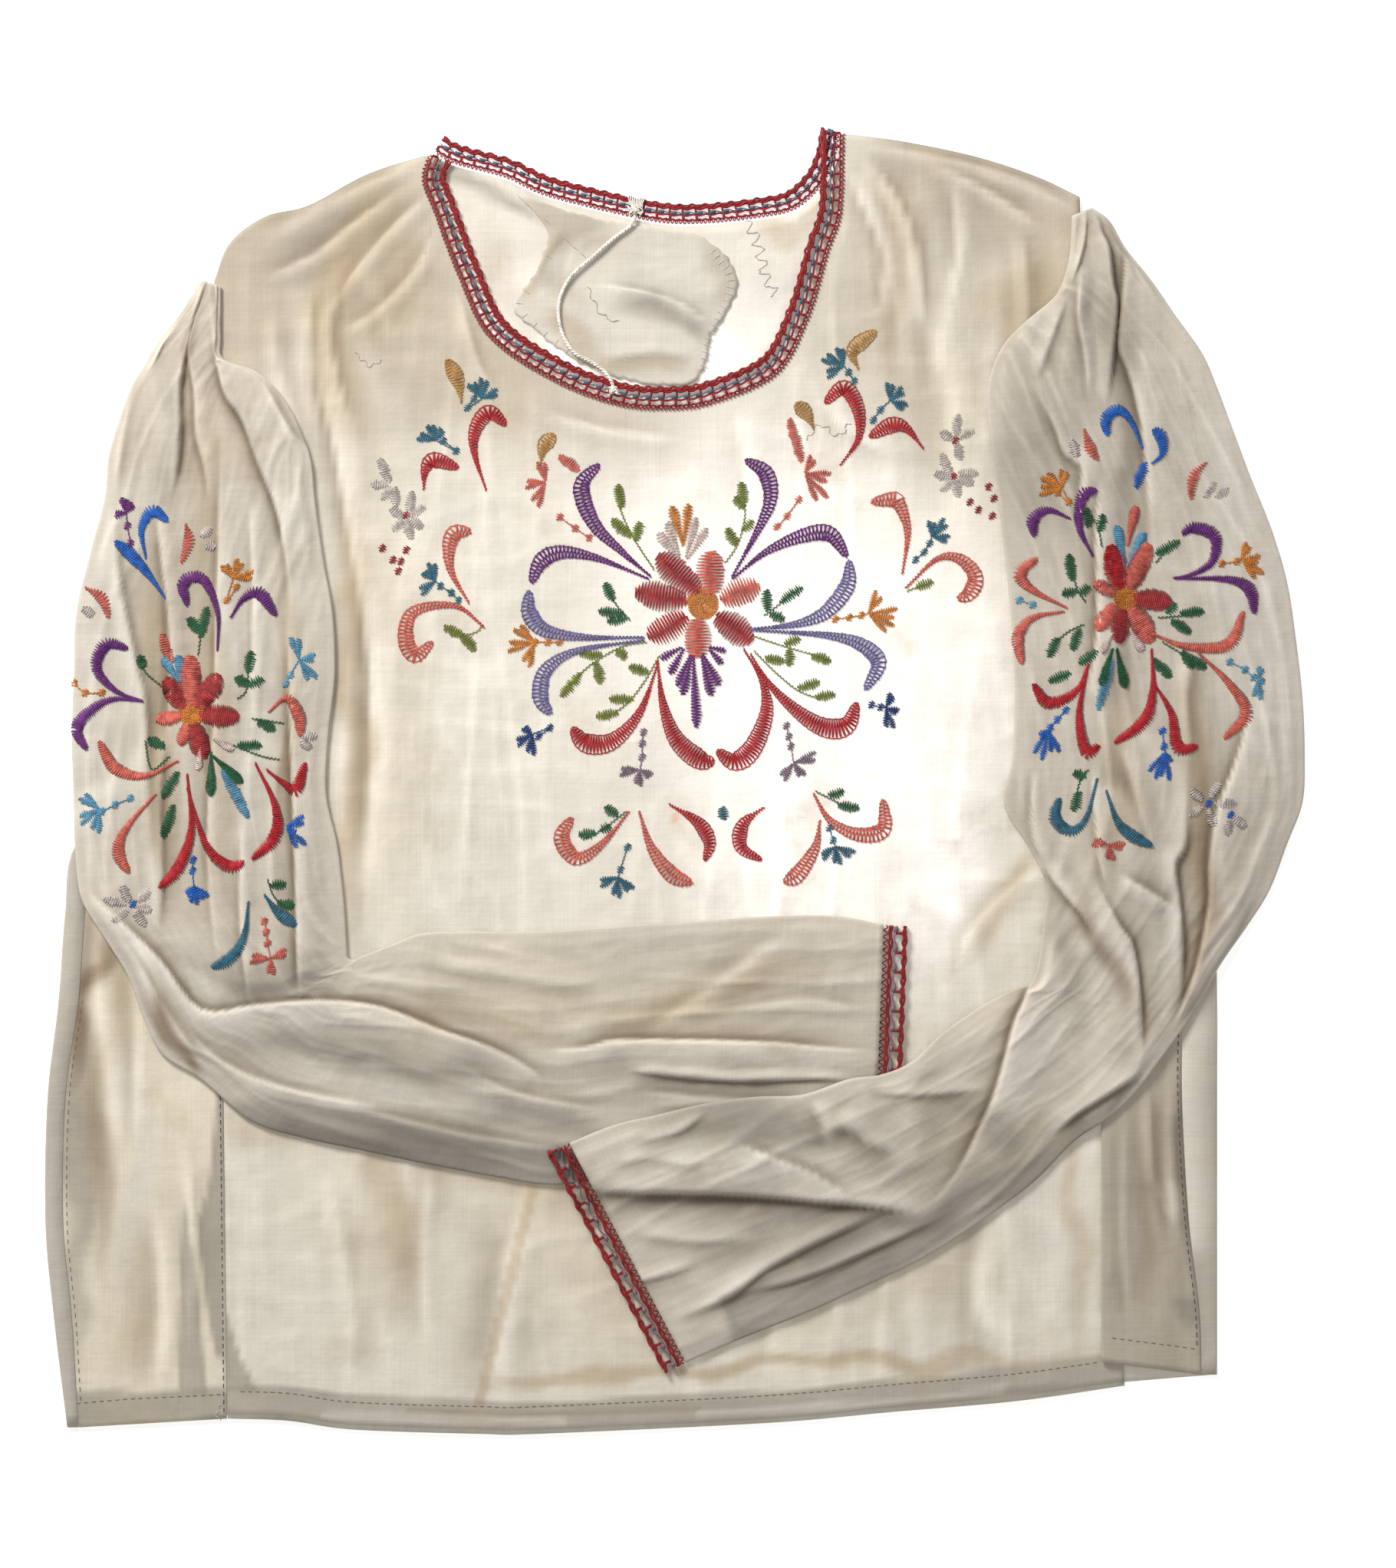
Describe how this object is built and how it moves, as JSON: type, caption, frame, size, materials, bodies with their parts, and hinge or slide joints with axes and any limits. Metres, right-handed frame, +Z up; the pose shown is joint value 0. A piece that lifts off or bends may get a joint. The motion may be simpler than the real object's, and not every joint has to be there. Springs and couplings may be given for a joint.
{
  "type": "embroidered folk blouse",
  "caption": "Thin cotton folk blouse laid flat, front up, sleeves folded across; round neck and cuffs edged in crochet lace; flower embroidery on chest and sleeves.",
  "frame": {"origin": "on the surface it lies on, under the middle of the laid-out garment's box", "axes": "+Y from the hem to the neck, +X to the garment's left hand side as seen from above, +Z up out of the surface"},
  "size_m": [0.575, 0.5947, 0.0111],
  "materials": {
    "body_cotton": "thin plain-weave cotton, off-white",
    "sleeve_cotton": "thin plain-weave cotton, greyed beige where it lies double",
    "patch_cotton": "plain-weave cotton, frayed at its edge",
    "crochet_lace": "crocheted crimson thread with grey-blue and white rows",
    "cord_yarn": "two-ply twisted white cotton cord"
  },
  "bodies": {
    "root": {"back": "body_cotton", "front": "body_cotton", "left_side_panel": "body_cotton", "right_side_panel": "body_cotton", "left_sleeve": "sleeve_cotton", "right_sleeve": "sleeve_cotton", "neck_lace_front": "crochet_lace", "neck_lace_back": "crochet_lace", "left_cuff_lace_lower": "crochet_lace", "left_cuff_lace_upper": "crochet_lace", "right_cuff_lace_lower": "crochet_lace", "right_cuff_lace_upper": "crochet_lace", "back_neck_patch": "patch_cotton", "neck_cord": "cord_yarn"}
  },
  "joints": []
}
